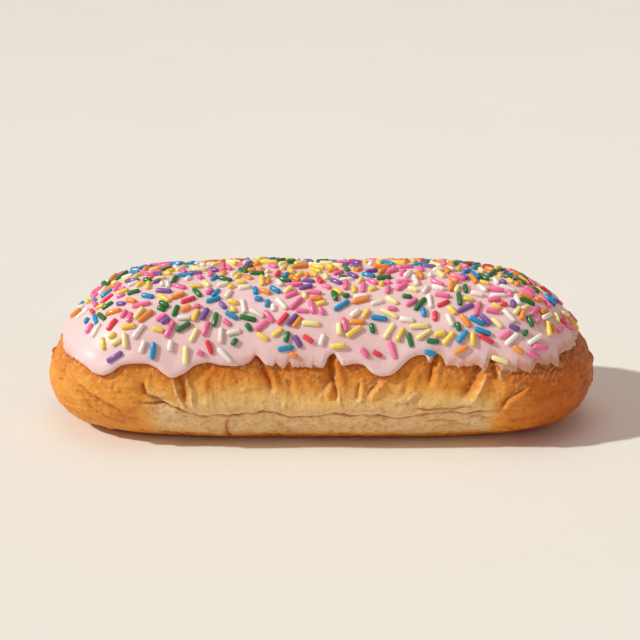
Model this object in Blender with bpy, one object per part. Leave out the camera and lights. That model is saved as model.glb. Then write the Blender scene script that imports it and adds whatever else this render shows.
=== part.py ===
"""Iced finger bun: a long soft roll under a thin skin of fondant icing with sugar sprinkles.

The dough is one solid and the icing, with its sprinkles fused to it, is another. Both are wrapped round
one form with two surface coordinates: a station, the distance round the bun's widest outline (0 in the
middle of the front, growing towards +X), and a climb, the distance from the foot up over the side to the
crown. The back of the bun is its front turned end for end. All lengths are in metres.
"""

import math
import random

import bmesh
import bpy
import numpy as np

MM = 0.001

# The dough's driving dimensions.
LENGTH = 0.160
WIDTH = 0.058
HEIGHT = 0.0440
BELLY = 0.0146            # height of the widest line
FOOT = 0.575              # half width of the flat foot in the middle, as a share of half the width
END_FOOT = 0.42           # the same at the two ends
NARROWING_FROM = 0.028    # the foot narrows from this station
NARROWING_TO = 0.068      # to this one
SIDE_ROUNDNESS = 2.3      # exponent of the upper section along the sides; 2 is an ellipse
END_ROUNDNESS = 1.68      # the same at the two tips, which are more pointed
TUCK_ROUNDNESS = 1.48     # exponent of the lower section along the sides
END_TUCK_ROUNDNESS = 2.0  # the same at the two tips
CROWN_FLAT = 0.030        # the crown is level this far each side of the middle
CROWN_DROP = 0.15         # then falls by this share of its height at the tips

# The icing.
ICING = 1.30 * MM         # thickness over the dough, with the gap below it
GAP = 0.40 * MM           # kept between icing and dough
EDGE_CLIMB = 32.2 * MM    # where the icing's edge runs along the sides
TIP_RISE = 5.0 * MM       # how much further up it stops at the two tips
TIP_RISE_FROM = 62.0 * MM
TIP_RISE_TO = 90.0 * MM

# Places where the icing ran down further, or stopped short: station, reach and half width in mm.
DRIPS = ((-62.0, 3.4, 7.5), (-41.3, 3.9, 7.5), (-24.0, 0.6, 5.0), (-8.0, 0.9, 10.0), (5.6, 2.0, 2.2),
         (17.5, 3.5, 7.5), (30.0, 2.2, 2.2), (38.0, 0.8, 5.0), (45.0, 2.2, 2.2), (54.5, 2.2, 7.5),
         (66.0, 1.4, 4.0))
NOTCHES = ((-18.2, 3.2, 2.4), (3.0, 4.4, 2.8), (27.0, 3.0, 6.0), (32.4, 2.8, 2.6), (47.2, 2.6, 2.4),
           (74.0, 2.0, 4.0))

# The crease where the risen top overlaps the paler band below it: station and climb in mm.
CREASE = ((-96.0, 18.7), (-56.0, 18.7), (-48.0, 20.2), (-43.5, 19.8), (-34.0, 17.0), (-17.0, 18.0),
          (-9.0, 16.2), (3.5, 18.4), (16.0, 17.4), (21.0, 15.8), (36.0, 18.0), (50.0, 18.7), (96.0, 18.7))
CREASE_LIP = 0.55 * MM
CREASE_INSET = 0.75 * MM
BAND_HEIGHT = 9.0 * MM

# Folds that run down from the icing: their points as station and climb in mm, then depth and half width.
FOLDS = (
    (((-18.2, 36.2), (-16.0, 31.7), (-14.4, 26.2), (-13.3, 22.2)), 1.3, 1.7),
    (((3.4, 37.2), (3.2, 30.7), (4.2, 24.7), (4.8, 20.2)), 1.7, 1.8),
    (((31.8, 37.2), (30.6, 29.2), (29.5, 24.7)), 1.3, 1.7),
    (((44.0, 32.2), (42.3, 26.2), (39.4, 20.7)), 1.2, 1.8),
    (((47.2, 35.2), (48.0, 30.2), (49.2, 26.7)), 1.1, 1.5),
    (((-40.0, 29.2), (-38.6, 24.7), (-37.0, 19.2)), 1.2, 1.8),
    (((-50.0, 24.7), (-44.0, 21.7)), 0.9, 1.8),
    (((53.5, 23.2), (48.0, 17.7)), 0.9, 1.6),
    (((12.0, 22.7), (17.5, 26.7)), 0.7, 1.6),
)

# The left end rose fuller under the icing: the swelling's middle and its reach in metres, and its height.
FULL_END = (-0.074, 0.0, 0.027)
FULL_END_REACH = 0.022
FULL_END_SWELL = 0.4 * MM

# Low swellings all over the dough: heading of the wave in degrees, its length and height in mm.
SWELLS = ((12, 41.0, 0.20), (74, 27.0, 0.16), (131, 33.0, 0.16), (48, 19.0, 0.12))

# How the two solids are divided.
STRAIGHT_COLUMNS = 46     # on each straight side
END_COLUMNS = 20          # round each end; from the top rows up every second column ends
LOW_ROWS = (0.0, 2.5, 6.0)                          # climb in mm, up the pale band
CREASE_ROWS = (-1.2, 0.3, 2.6)                      # in mm from the crease
SIDE_ROWS = (23.4, 27.0, 31.2, 36.0)
TOP_ROWS = (40.5, 47.0, 53.5, 60.0)                 # shared by dough and icing
LIP_ROWS = (0.0, 0.7, 2.0)                          # in mm from the icing's edge

# The sprinkles: short rods of pressed sugar.
SPRINKLES = 194
SPRINKLE_LENGTHS = (4.2 * MM, 5.9 * MM)
SPRINKLE_RADIUS = 0.85 * MM
SPRINKLE_SUNK = 0.50 * MM  # depth of the rod's lower side below the icing's surface
SPRINKLE_SIDES = 6
SPRINKLE_SPACING = 1.05    # least distance between two pieces' middles, as a share of their mean length
BARE_RIM = 3.2 * MM        # no sprinkle lies nearer to the icing's edge
FULL_COVER = 17.0 * MM     # from this far in they lie at their full density
SEED = 41

RADIUS = WIDTH / 2
STRAIGHT = LENGTH / 2 - RADIUS
HALF_ROUND = 2 * STRAIGHT + math.pi * RADIUS
UP = np.array((0.0, 0.0, 1.0))


def ease(value):
    """0 below 0, 1 above 1, and an S-curve between."""
    value = np.clip(value, 0.0, 1.0)
    return value * value * (3 - 2 * value)


def hump(value):
    """A rounded bump: 1 at 0, and nothing beyond 1 on either side."""
    return np.where(np.abs(value) < 1, (1 - value * value) ** 2, 0.0)


def section(angle, tip, foot):
    """The side's outline at an angle from -90 (foot) to 90 degrees (crown): share of the radius, and height.
    tip is 0 along the sides and 1 at the two tips; foot is the foot's share of the radius."""
    roundness = SIDE_ROUNDNESS + (END_ROUNDNESS - SIDE_ROUNDNESS) * tip
    tuck = TUCK_ROUNDNESS + (END_TUCK_ROUNDNESS - TUCK_ROUNDNESS) * tip
    cosine = np.abs(np.cos(angle))
    sine = np.abs(np.sin(angle))
    upper_out = cosine ** (2 / roundness)
    upper_up = BELLY + (HEIGHT - BELLY) * sine ** (2 / roundness)
    lower_out = foot + (1 - foot) * cosine ** (2 / tuck)
    lower_up = BELLY - BELLY * sine ** (2 / tuck)
    above = angle >= 0
    return np.where(above, upper_out, lower_out), np.where(above, upper_up, lower_up)


def measured_climb():
    """A table of section angles and the climb each is reached at, along the sides."""
    angle = np.linspace(-math.pi / 2, math.pi / 2, 1441)
    out, up = section(angle, 0.0, FOOT)
    steps = np.hypot(np.diff(out * RADIUS), np.diff(up))
    return angle, np.concatenate(([0.0], np.cumsum(steps)))


ANGLES, CLIMBS = measured_climb()
CROWN_CLIMB = CLIMBS[-1]


def smooth_form(station, climb):
    """Points of the plain form, without lumps or folds."""
    side = np.sign(station)
    along = np.abs(station)
    turn = np.clip((along - STRAIGHT) / RADIUS, 0, math.pi)
    centre = np.clip(along, 0, STRAIGHT) - np.clip(along - STRAIGHT - math.pi * RADIUS, 0, STRAIGHT)
    angle = np.interp(climb, CLIMBS, ANGLES)
    from_middle = np.minimum(along, HALF_ROUND - along)
    narrowing = ease((from_middle - NARROWING_FROM) / (NARROWING_TO - NARROWING_FROM))
    out, up = section(angle, np.sin(turn) ** 2, FOOT + (END_FOOT - FOOT) * narrowing)
    x = side * (centre + RADIUS * out * np.sin(turn))
    y = -RADIUS * out * np.cos(turn)
    fall = 1 - CROWN_DROP * ease((np.abs(x) - CROWN_FLAT) / (LENGTH / 2 - CROWN_FLAT))
    z = np.where(angle > 0, BELLY + (up - BELLY) * fall, up)
    return np.stack((x, y, z), axis=-1)


def outward(station, climb):
    """Unit normals of the plain form. At the crown they point straight up."""
    step = 0.05 * MM
    low = np.clip(climb, step, CROWN_CLIMB - 0.5 * MM)
    round_it = smooth_form(station + step, low) - smooth_form(station - step, low)
    up_it = smooth_form(station, low + step) - smooth_form(station, low - step)
    normal = np.cross(round_it, up_it)
    normal /= np.linalg.norm(normal, axis=-1, keepdims=True)
    at_crown = (climb > CROWN_CLIMB - 0.4 * MM)[..., None]
    return np.where(at_crown, UP, normal)


def front_station(station):
    """The front's station that a station round the back repeats, turned end for end."""
    quarter = HALF_ROUND / 2
    return np.mod(station + quarter, HALF_ROUND) - quarter


def icing_edge(station):
    """The climb at which the icing ends."""
    place = front_station(station)
    climb = EDGE_CLIMB + TIP_RISE * ease((np.abs(place) - TIP_RISE_FROM) / (TIP_RISE_TO - TIP_RISE_FROM))
    for at, reach, width in DRIPS:
        climb = climb - reach * MM * hump((place / MM - at) / width)
    for at, rise, width in NOTCHES:
        climb = climb + rise * MM * hump((place / MM - at) / width)
    return climb


def crease_climb(station):
    """The climb of the crease at a station."""
    place = front_station(station)
    at, climb = zip(*CREASE)
    return np.interp(place / MM, at, climb) * MM


def off_line(station, climb, points):
    """Each place's distance from a line of points, and how far along it that is, from 0 to 1."""
    ends = np.array(points) * MM
    lengths = np.linalg.norm(np.diff(ends, axis=0), axis=1)
    nearest = np.full(np.shape(station), np.inf)
    along = np.zeros(np.shape(station))
    passed = 0.0
    for start, end, length in zip(ends[:-1], ends[1:], lengths):
        way = (end - start) / length
        reach = np.clip((station - start[0]) * way[0] + (climb - start[1]) * way[1], 0, length)
        distance = np.hypot(station - start[0] - reach * way[0], climb - start[1] - reach * way[1])
        along = np.where(distance < nearest, (passed + reach) / lengths.sum(), along)
        nearest = np.minimum(distance, nearest)
        passed += length
    return nearest, along


def lumps(station, climb):
    """How far the dough stands in or out of the plain form: low swellings, and the crease on its sides."""
    point = smooth_form(station, climb)
    height = np.zeros(np.shape(station))
    for heading, wave, swell in SWELLS:
        way = math.radians(heading)
        travel = point[..., 0] * math.cos(way) + point[..., 1] * math.sin(way) + 0.6 * point[..., 2]
        height = height + swell * MM * np.sin(2 * math.pi * travel / (wave * MM))
    height = height * ease((climb - 2 * MM) / (9 * MM))
    height = height + FULL_END_SWELL * hump(np.linalg.norm(point - FULL_END, axis=-1) / FULL_END_REACH)

    above = climb - crease_climb(station)
    on_side = 1 - ease((np.abs(front_station(station)) - 44 * MM) / (12 * MM))
    lip = CREASE_LIP * hump((above - 2.4 * MM) / (4.5 * MM))
    inset = CREASE_INSET * ease(-above / (1.6 * MM) + 0.6) * (1 - ease((-above - 1.5 * MM) / BAND_HEIGHT))
    return height + on_side * (lip - inset)


def fold_depth(station, climb):
    """How deep the folds are cut. They fade out under the icing, which bridges them."""
    depth_here = np.zeros(np.shape(station))
    open_dough = 1 - ease((climb - icing_edge(station) + 0.5 * MM) / (4 * MM))
    for points, depth, width in FOLDS:
        distance, along = off_line(front_station(station), climb, points)
        near = np.exp(-(distance / (0.6 * width * MM)) ** 2)
        depth_here = depth_here + depth * MM * near * ease(1.25 - along)
    return depth_here * open_dough


def lumpy_form(station, climb, proud):
    """Points of the lumpy form, or a distance proud of it."""
    lift = np.asarray(lumps(station, climb) + proud)
    return smooth_form(station, climb) + outward(station, climb) * lift[..., None]


def off_edge(station, climb):
    """Each place's shortest distance from the icing's edge, measured over the surface."""
    shortest = np.abs(climb - icing_edge(station))
    for aside in np.arange(-4.0, 4.01, 0.5) * MM:
        shortest = np.minimum(shortest, np.hypot(aside, climb - icing_edge(station + aside)))
    return shortest


def icing_lift(inside):
    """The icing's outer height over the dough, a distance in from its edge: a bead, then a flat skin."""
    bead = np.sqrt(1 - (1 - np.clip(inside / (1.5 * MM), 0, 1)) ** 2)
    return GAP + (ICING - GAP) * (0.35 + 0.65 * bead + 0.25 * hump((inside - 1.7 * MM) / (2.2 * MM)))


def columns():
    """Stations round the bun, from the middle of the back round to it again, the same front and back."""
    side = np.linspace(-STRAIGHT, STRAIGHT, STRAIGHT_COLUMNS + 1)
    end = STRAIGHT + math.pi * RADIUS * np.linspace(0, 1, END_COLUMNS + 1)[1:]
    back = end[-1] + np.linspace(0, STRAIGHT, STRAIGHT_COLUMNS // 2 + 1)[1:]
    right = np.concatenate((end, back))
    return np.concatenate((-right[::-1], side, right))


def dough_rows(station):
    """The climbs of the dough's rows: low rows, rows that follow the crease, and even rows above."""
    crease = crease_climb(station)
    rows = [np.full(station.shape, climb * MM) for climb in LOW_ROWS]
    rows.append((rows[-1] + crease) / 2)
    rows += [crease + shift * MM for shift in CREASE_ROWS]
    rows += [np.full(station.shape, climb * MM) for climb in SIDE_ROWS + TOP_ROWS]
    return rows + [np.full(station.shape, CROWN_CLIMB)]


def wrap(name, row_count, place):
    """A skin made from a flat grid: a column for each station, each vertex moved where place() puts it.
    place() is also told the station of the column's coarse neighbour, which the top rows use."""
    stations = columns()
    last = len(stations) - 1
    mesh = bmesh.new()
    bmesh.ops.create_grid(mesh, x_segments=last, y_segments=row_count - 1, size=0.5)
    column = np.array([round((vertex.co.x + 0.5) * last) for vertex in mesh.verts])
    row = np.array([round((vertex.co.y + 0.5) * (row_count - 1)) for vertex in mesh.verts])
    coarse = stations[column - column % 2]
    for vertex, point in zip(mesh.verts, place(stations[column], coarse, row)):
        vertex.co = point
    bmesh.ops.remove_doubles(mesh, verts=mesh.verts, dist=0.02 * MM)
    bmesh.ops.dissolve_degenerate(mesh, edges=mesh.edges, dist=0.01 * MM)
    rims = [edge for edge in mesh.edges if edge.is_boundary]
    if rims:
        bmesh.ops.contextual_create(mesh, geom=rims)
    bmesh.ops.recalc_face_normals(mesh, faces=mesh.faces)
    return finish_mesh(name, mesh)


def finish_mesh(name, mesh):
    """Puts a finished mesh in the scene, shaded smooth except at sharp corners."""
    data = bpy.data.meshes.new(name)
    mesh.to_mesh(data)
    mesh.free()
    data.shade_smooth()
    data.set_sharp_from_angle(angle=math.radians(50))
    thing = bpy.data.objects.new(name, data)
    bpy.context.collection.objects.link(thing)
    return thing


def give_material(thing, name, colour, roughness):
    """Gives an object its own Principled material, with a linear colour."""
    material = bpy.data.materials.new(name)
    material.use_nodes = True
    shader = material.node_tree.nodes["Principled BSDF"]
    shader.inputs["Base Color"].default_value = (*colour, 1)
    shader.inputs["Roughness"].default_value = roughness
    thing.data.materials.append(material)


def make_dough():
    """The bun itself, closed below by its flat foot."""
    rows = len(dough_rows(np.zeros(1)))

    def place(station, coarse, row):
        station = np.where(row >= rows - 1 - len(TOP_ROWS), coarse, station)
        climb = np.choose(row, dough_rows(station))
        return lumpy_form(station, climb, -fold_depth(station, climb))

    bun = wrap("bun", rows, place)
    give_material(bun, "baked_crust", (0.62, 0.31, 0.11), 0.65)
    return bun


def make_icing():
    """The bare icing: one grid that starts at the crown, comes down outside, turns at the lip and
    goes back up inside."""
    tops = [climb * MM for climb in TOP_ROWS]
    outer = [CROWN_CLIMB, *reversed(tops)]
    inner = [*tops, CROWN_CLIMB]
    lips = [distance * MM for distance in reversed(LIP_ROWS)]
    rows = len(outer) + 1 + len(lips) + 2 + len(inner)

    def place(station, coarse, row):
        on_top = (row < len(outer)) | (row >= rows - len(inner))
        station = np.where(on_top, coarse, station)
        edge = icing_edge(station)
        between = (edge + tops[0]) / 2 + 1.0 * MM
        climbs = [np.full(station.shape, climb) for climb in outer]
        climbs.append(between)
        climbs += [edge + distance for distance in lips]
        first_inner = len(climbs)
        climbs += [edge + 0.3 * MM, between]
        climbs += [np.full(station.shape, climb) for climb in inner]
        climb = np.choose(row, climbs)
        outside = icing_lift(off_edge(station, climb))
        return lumpy_form(station, climb, np.where(row < first_inner, outside, GAP))

    icing = wrap("icing", rows, place)
    give_material(icing, "fondant_icing", (0.85, 0.50, 0.50), 0.35)
    return icing


def scattered():
    """Where the sprinkles lie: station, climb, heading and length of each, by a seeded rule. They are thrown
    evenly over the icing, are rare near its edge, and keep clear of each other."""
    draw = random.Random(SEED)
    kept = []
    while len(kept) < SPRINKLES:
        station = draw.uniform(-HALF_ROUND, HALF_ROUND)
        climb = draw.uniform(EDGE_CLIMB, CROWN_CLIMB)
        heading = draw.uniform(0, math.pi)
        length = draw.uniform(*SPRINKLE_LENGTHS)
        wanted = draw.random()
        beside = 1 - (climb / CROWN_CLIMB) ** 6
        on_end = STRAIGHT < abs(station) < HALF_ROUND - STRAIGHT
        inside = climb - float(icing_edge(station))
        cover = float(ease((inside - BARE_RIM) / (FULL_COVER - BARE_RIM))) * 0.75 + 0.25
        if inside < BARE_RIM or wanted > cover * (beside if on_end else 1):
            continue
        middle = smooth_form(np.array(station), np.array(climb))
        clear = all(np.linalg.norm(middle - other) > SPRINKLE_SPACING * (length + size) / 2
                    for other, size in ((piece[4], piece[3]) for piece in kept))
        if clear:
            kept.append((station, climb, heading, length, middle))
    return kept


def make_sprinkle(station, climb, heading, length, tools):
    """One rod, sunk a little into the icing, with its axis along the surface."""
    station, climb = np.array(station), np.array(climb)
    normal = outward(station, climb)
    middle = lumpy_form(station, climb, ICING + SPRINKLE_RADIUS - SPRINKLE_SUNK)
    across = np.cross(normal, (math.cos(heading), math.sin(heading), 0))
    across /= np.linalg.norm(across)
    along = np.cross(across, normal)
    mesh = bmesh.new()
    bmesh.ops.create_cone(mesh, cap_ends=True, segments=SPRINKLE_SIDES, radius1=SPRINKLE_RADIUS,
                          radius2=SPRINKLE_RADIUS, depth=length)
    for vertex in mesh.verts:
        vertex.co = middle + across * vertex.co.x + normal * vertex.co.y + along * vertex.co.z
    bmesh.ops.recalc_face_normals(mesh, faces=mesh.faces)
    data = bpy.data.meshes.new("sprinkle")
    mesh.to_mesh(data)
    mesh.free()
    tools.objects.link(bpy.data.objects.new("sprinkle", data))


def fuse_sprinkles(icing):
    """Joins all the sprinkles to the icing with one Boolean, and removes the loose ones."""
    tools = bpy.data.collections.new("sprinkles")
    bpy.context.scene.collection.children.link(tools)
    for station, climb, heading, length, _ in scattered():
        make_sprinkle(station, climb, heading, length, tools)
    fuse = icing.modifiers.new("fuse_sprinkles", "BOOLEAN")
    fuse.operation = "UNION"
    fuse.operand_type = "COLLECTION"
    fuse.collection = tools
    fuse.solver = "EXACT"
    bpy.context.view_layer.objects.active = icing
    bpy.ops.object.modifier_apply(modifier=fuse.name)
    for piece in list(tools.objects):
        bpy.data.objects.remove(piece)
    bpy.data.collections.remove(tools)


def clear_scene():
    for thing in list(bpy.data.objects):
        bpy.data.objects.remove(thing)


clear_scene()
make_dough()
fuse_sprinkles(make_icing())
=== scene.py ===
# %% [markdown]
# # An iced finger bun
#
# A finger bun is a long soft roll. It bakes golden brown on top and stays pale low on its sides, where it
# rose against its neighbours. Pink fondant icing is poured over the top, runs down in drips, and is
# scattered with sugar sprinkles before it sets.
#
# This lesson makes it in six steps: the dough, its crust, the icing, the sprinkles, the materials, and a
# plain studio. The solids that were built before it give the place and the size. Here the looks are made.

import math
import random

import bpy
import numpy as np
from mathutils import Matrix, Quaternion, Vector, geometry, kdtree, noise


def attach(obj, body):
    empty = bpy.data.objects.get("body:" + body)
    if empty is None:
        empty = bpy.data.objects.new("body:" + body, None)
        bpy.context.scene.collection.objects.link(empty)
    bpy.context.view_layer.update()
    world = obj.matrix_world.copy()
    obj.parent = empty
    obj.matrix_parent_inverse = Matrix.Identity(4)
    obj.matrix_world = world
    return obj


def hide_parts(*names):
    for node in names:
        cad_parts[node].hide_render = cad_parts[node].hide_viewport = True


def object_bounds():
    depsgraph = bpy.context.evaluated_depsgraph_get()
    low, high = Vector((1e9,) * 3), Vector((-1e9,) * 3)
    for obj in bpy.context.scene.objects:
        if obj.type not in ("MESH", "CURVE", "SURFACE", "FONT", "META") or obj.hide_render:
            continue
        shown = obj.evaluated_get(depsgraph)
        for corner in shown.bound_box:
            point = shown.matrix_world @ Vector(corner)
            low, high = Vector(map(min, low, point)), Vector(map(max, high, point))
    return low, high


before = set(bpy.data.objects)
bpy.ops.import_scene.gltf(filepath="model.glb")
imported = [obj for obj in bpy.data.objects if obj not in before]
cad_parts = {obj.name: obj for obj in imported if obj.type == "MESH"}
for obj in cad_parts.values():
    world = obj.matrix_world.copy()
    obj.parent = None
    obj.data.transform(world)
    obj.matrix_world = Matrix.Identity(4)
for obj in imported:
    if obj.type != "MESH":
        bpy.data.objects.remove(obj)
cad_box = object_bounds()
MM = 0.001
print("solids:", sorted(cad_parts), "box:", [tuple(round(v / MM, 1) for v in c) for c in cad_box])

# %% [markdown]
# ## The form
#
# Every surface of the bun is found with two distances, as on a map wrapped round it. A *station* is how far
# round the widest outline a place is: 0 in the middle of the front, growing towards +X, half the way round
# at the middle of the back. A *climb* is how far up the side it is, from the edge of the flat foot to the
# crown. The form could be sculpted freely instead, but then the icing would not fit the dough, nor the
# sprinkles the icing. The numbers here are those of the solids, in metres.

# %% Driving dimensions
LENGTH = 0.160
WIDTH = 0.058
HEIGHT = 0.0440
BELLY = 0.0146            # height of the widest line
FOOT = 0.575              # half width of the flat foot in the middle, as a share of half the width
END_FOOT = 0.42           # the same at the two ends
NARROWING_FROM = 0.028    # the foot narrows from this station
NARROWING_TO = 0.068      # to this one
SIDE_ROUNDNESS = 2.3      # exponent of the upper section along the sides; 2 is an ellipse
END_ROUNDNESS = 1.68      # the same at the two tips
TUCK_ROUNDNESS = 1.48     # exponent of the lower section along the sides
END_TUCK_ROUNDNESS = 2.0  # the same at the two tips
CROWN_FLAT = 0.030        # the crown is level this far each side of the middle
CROWN_DROP = 0.15         # then falls by this share of its height at the tips

RADIUS = WIDTH / 2
STRAIGHT = LENGTH / 2 - RADIUS
HALF_ROUND = 2 * STRAIGHT + math.pi * RADIUS
UP = np.array((0.0, 0.0, 1.0))


# %% Two curves that everything below uses
def ease(value):
    """0 below 0, 1 above 1, and an S-curve between."""
    value = np.clip(value, 0.0, 1.0)
    return value * value * (3 - 2 * value)


def hump(value):
    """A rounded bump: 1 at 0, and nothing beyond 1 on either side."""
    return np.where(np.abs(value) < 1, (1 - value * value) ** 2, 0.0)


# %% The side's outline
def section(angle, tip, foot):
    """The side's outline at an angle from -90 (foot) to 90 degrees (crown): share of the radius, and height.
    tip is 0 along the sides and 1 at the two tips; foot is the foot's share of the radius."""
    roundness = SIDE_ROUNDNESS + (END_ROUNDNESS - SIDE_ROUNDNESS) * tip
    tuck = TUCK_ROUNDNESS + (END_TUCK_ROUNDNESS - TUCK_ROUNDNESS) * tip
    cosine = np.abs(np.cos(angle))
    sine = np.abs(np.sin(angle))
    upper_up = BELLY + (HEIGHT - BELLY) * sine ** (2 / roundness)
    lower_out = foot + (1 - foot) * cosine ** (2 / tuck)
    lower_up = BELLY - BELLY * sine ** (2 / tuck)
    above = angle >= 0
    return np.where(above, cosine ** (2 / roundness), lower_out), np.where(above, upper_up, lower_up)


ANGLES = np.linspace(-math.pi / 2, math.pi / 2, 1441)
outline_out, outline_up = section(ANGLES, 0.0, FOOT)
CLIMBS = np.concatenate(([0.0], np.cumsum(np.hypot(np.diff(outline_out * RADIUS), np.diff(outline_up)))))
CROWN_CLIMB = CLIMBS[-1]
print("from foot to crown:", round(CROWN_CLIMB / MM, 1), "mm; half way round:", round(HALF_ROUND / MM, 1))


# %% From a station and a climb to a point, and its normal
def smooth_form(station, climb):
    """Points of the plain form, without lumps or folds."""
    side = np.sign(station)
    along = np.abs(station)
    turn = np.clip((along - STRAIGHT) / RADIUS, 0, math.pi)
    centre = np.clip(along, 0, STRAIGHT) - np.clip(along - STRAIGHT - math.pi * RADIUS, 0, STRAIGHT)
    angle = np.interp(climb, CLIMBS, ANGLES)
    from_middle = np.minimum(along, HALF_ROUND - along)
    narrowing = ease((from_middle - NARROWING_FROM) / (NARROWING_TO - NARROWING_FROM))
    out, up = section(angle, np.sin(turn) ** 2, FOOT + (END_FOOT - FOOT) * narrowing)
    x = side * (centre + RADIUS * out * np.sin(turn))
    y = -RADIUS * out * np.cos(turn)
    fall = 1 - CROWN_DROP * ease((np.abs(x) - CROWN_FLAT) / (LENGTH / 2 - CROWN_FLAT))
    z = np.where(angle > 0, BELLY + (up - BELLY) * fall, up)
    return np.stack((x, y, z), axis=-1)


def outward(station, climb):
    """Unit normals of the plain form. At the crown they point straight up."""
    step = 0.05 * MM
    low = np.clip(climb, step, CROWN_CLIMB - 0.5 * MM)
    round_it = smooth_form(station + step, low) - smooth_form(station - step, low)
    up_it = smooth_form(station, low + step) - smooth_form(station, low - step)
    normal = np.cross(round_it, up_it)
    normal /= np.linalg.norm(normal, axis=-1, keepdims=True)
    at_crown = (climb > CROWN_CLIMB - 0.4 * MM)[..., None]
    return np.where(at_crown, UP, normal)


# %% [markdown]
# The back of the bun isn't shown by anything, so it repeats the front turned end for end. One function says
# which station of the front a place on the back repeats. The noise that is added later is different on the
# two sides, so they don't look like copies.

# %% The back repeats the front
def front_station(station):
    """The front's station that a station round the back repeats, turned end for end."""
    quarter = HALF_ROUND / 2
    return np.mod(station + quarter, HALF_ROUND) - quarter


def cloudy(points, size, octaves, seed):
    """Cloudy noise of about -1 to 1 at each point, whose largest clouds are size metres across."""
    shift = Vector((7.3, 3.1, 11.7)) * seed
    return np.array([noise.fractal(Vector(point) / size + shift, 0.9, 2.0, octaves) for point in points])


# %% [markdown]
# ## Where the icing ends
#
# Icing that was poured on stops along a wandering line. On the left it ran down in smooth fat drips, and
# elsewhere it stopped thin and ragged on the sugary crust. The line is drawn as its high and low places, as
# one would set the points of a curve, and runs smoothly from each to the next. Small pointed teeth are added
# where it is ragged.

# %% A smooth run through points
def smooth_through(points, at):
    """The height at some places of a line through (place, height) points, level at each high and low."""
    places, heights = (np.array(values, dtype=float) for values in zip(*points))
    steps = np.diff(heights) / np.diff(places)
    turning = steps[:-1] * steps[1:] <= 0
    mean = 2 * steps[:-1] * steps[1:] / np.where(turning, 1, steps[:-1] + steps[1:])
    slopes = np.concatenate(([0], np.where(turning, 0, mean), [0]))
    left = np.clip(np.searchsorted(places, at) - 1, 0, len(places) - 2)
    width = places[left + 1] - places[left]
    way = np.clip((at - places[left]) / width, 0, 1)
    start = heights[left] * (1 + 2 * way) + slopes[left] * width * way
    end = heights[left + 1] * (3 - 2 * way) - slopes[left + 1] * width * (1 - way)
    return start * (1 - way) ** 2 + end * way ** 2


# %% The icing's edge: station and climb in mm, from the left tip to the right tip
EDGE = ((-96.6, 39.0), (-88.0, 37.2), (-83.4, 35.6), (-79.2, 34.2), (-73.0, 33.5), (-67.3, 31.9),
        (-64.0, 30.0), (-61.6, 29.5), (-58.8, 30.5), (-55.6, 32.6), (-52.1, 33.0), (-48.8, 32.8),
        (-45.8, 31.5), (-44.2, 30.1), (-41.6, 28.6), (-38.4, 29.6), (-34.9, 31.9), (-31.7, 32.6),
        (-27.5, 31.8), (-22.0, 31.6), (-19.8, 32.6), (-18.2, 34.6), (-17.2, 33.6), (-15.2, 31.7),
        (-10.5, 31.2), (0.3, 31.0), (2.0, 34.3), (3.3, 35.0), (4.6, 33.2), (5.8, 31.6), (7.2, 31.9),
        (9.4, 32.3), (11.4, 31.9), (14.2, 29.5), (16.7, 28.8), (18.9, 29.1), (21.0, 30.4), (22.7, 32.1),
        (24.8, 33.8), (27.0, 34.6), (28.6, 34.4), (29.9, 32.3), (31.4, 34.9), (32.8, 34.8), (34.4, 31.5),
        (38.6, 31.4), (43.4, 32.0), (45.0, 30.4), (47.2, 34.2), (48.6, 32.3), (49.7, 30.8), (54.2, 30.4),
        (58.9, 30.7), (61.8, 32.5), (64.4, 31.4), (68.4, 31.7), (69.4, 33.6), (73.0, 35.9), (79.6, 36.0),
        (82.4, 37.0), (88.0, 38.2), (96.6, 39.0))
# Where it is ragged: the middle's station, the reach each way and how strongly.
RAGGED = ((-79.0, 8.0, 0.6), (-21.0, 5.0, 0.5), (-7.0, 9.5, 0.65), (36.0, 8.0, 0.5), (60.0, 22.0, 1.0),
          (86.0, 12.0, 0.7))

# Narrow pockets that the icing bridged without filling: station, how far up they reach, and half width.
POCKETS = ((-12.7, 0.9, 0.6), (-9.1, 1.5, 0.8), (-2.3, 0.8, 0.5), (54.8, 1.0, 0.8), (60.8, 1.7, 0.9),
           (65.6, 1.2, 1.6), (70.2, 1.2, 0.8))

# The rows of teeth: width and height in mm, and where each row starts, in widths.
TEETH = ((5.3, 0.5, 0.3), (2.7, 0.9, 1.7), (1.3, 0.8, 0.9))


def icing_edge(station):
    """The climb at which the icing ends, smooth."""
    return smooth_through(EDGE, front_station(station) / MM) * MM


def raggedness(station):
    """0 where the edge is a smooth fat lip, up to 1 where it is thin and torn."""
    place = front_station(station) / MM
    return np.clip(sum(share * hump((place - at) / (1.4 * width)) for at, width, share in RAGGED), 0, 1)


def torn_edge(station):
    """The climb at which the icing ends, with pointed teeth and pockets where it is ragged."""
    teeth = np.zeros(np.shape(station))
    for width, reach, start in TEETH:
        place = station / (width * MM) + start + 0.35 * np.sin(station / (width * 2.7 * MM))
        height = 0.5 + 0.5 * np.sin(2.4 * np.floor(place) + 1.3 * start)
        teeth = teeth + reach * MM * height * (1 - np.abs(2 * np.mod(place, 1) - 1)) ** 1.4
    place = front_station(station) / MM
    pockets = sum(rise * MM * hump((place - at) / (1.5 * width)) for at, rise, width in POCKETS)
    return icing_edge(station) - raggedness(station) * (teeth - 0.7 * MM) + pockets


# %% [markdown]
# ## The dough's plain shape
#
# A modeller would start from the cross-section, and so does this step. A circle is added standing across
# the bun, its front half is kept, and its points are moved onto the bun's outline, close together where the
# crust will show. Spinning that half outline round an upright axis makes one round end, a turned copy makes
# the other, and bridging the open sides with many cuts makes the long straight sides. Merging the doubles
# closes the crown and the foot. The icing is made the same way later.

# %% A half outline to spin
def deselect_all():
    """An operator acts on all that is selected, and the loaded solids are."""
    bpy.ops.object.select_all(action="DESELECT")


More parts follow.
